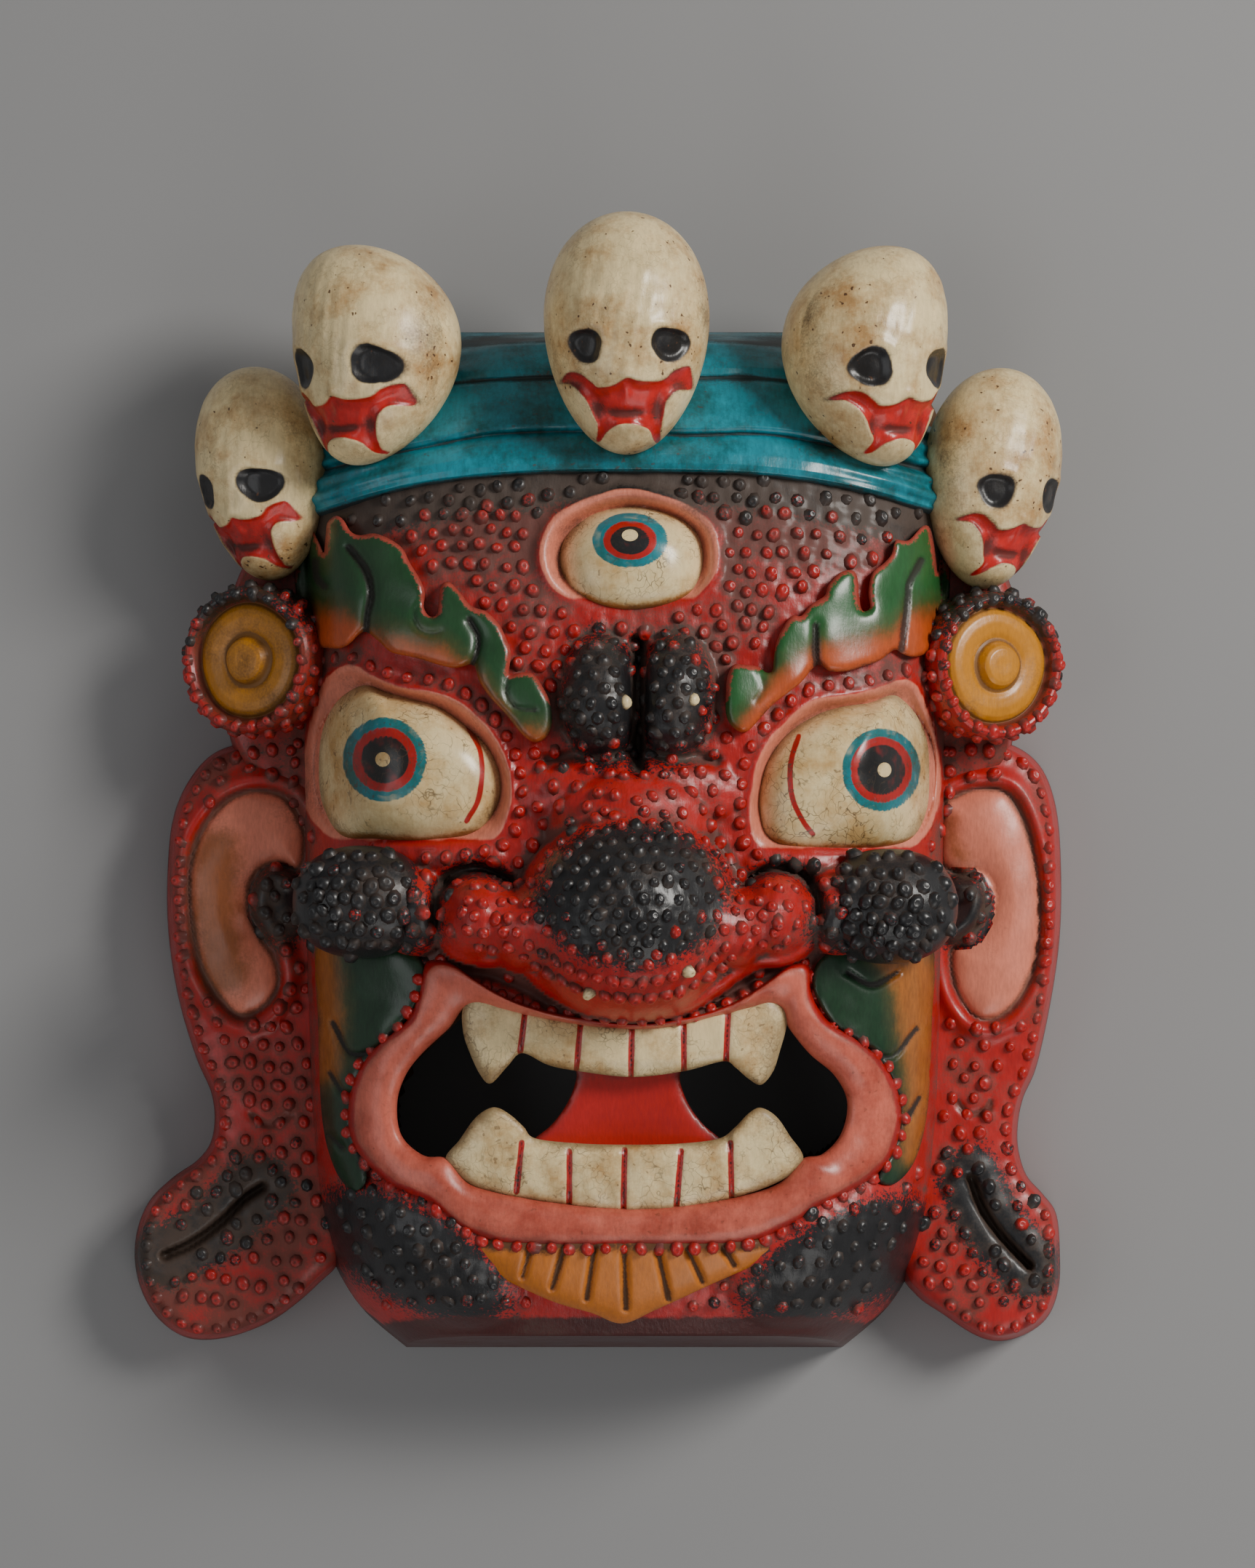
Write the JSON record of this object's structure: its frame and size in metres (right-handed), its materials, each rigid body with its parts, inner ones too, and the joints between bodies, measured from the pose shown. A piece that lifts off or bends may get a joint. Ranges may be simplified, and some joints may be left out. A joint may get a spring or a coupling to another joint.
{
  "type": "carved wall mask",
  "caption": "Carved and painted wooden wall mask of a wrathful guardian: turban, skull crown, bulging eyes, open fanged mouth, long ears, hollow back.",
  "frame": {"origin": "middle of the outline's bounding box, on the plane of the flat back", "axes": "+Z out of the face, +Y towards the crown, +X to the viewer's right; the mask lies on its back"},
  "size_m": [0.3049, 0.3658, 0.124],
  "materials": {
    "red_paint": "varnished paint, dark in the hollows",
    "black_paint": "varnished paint",
    "bone_paint": "varnished paint, ochre stains",
    "blue_paint": "varnished paint, dark in the folds",
    "green_paint": "varnished paint shading to orange",
    "pink_paint": "varnished paint",
    "ochre_paint": "varnished paint",
    "bare_wood": "tool-marked, unpainted"
  },
  "bodies": {
    "root": {"mask": "red_paint"}
  },
  "joints": []
}
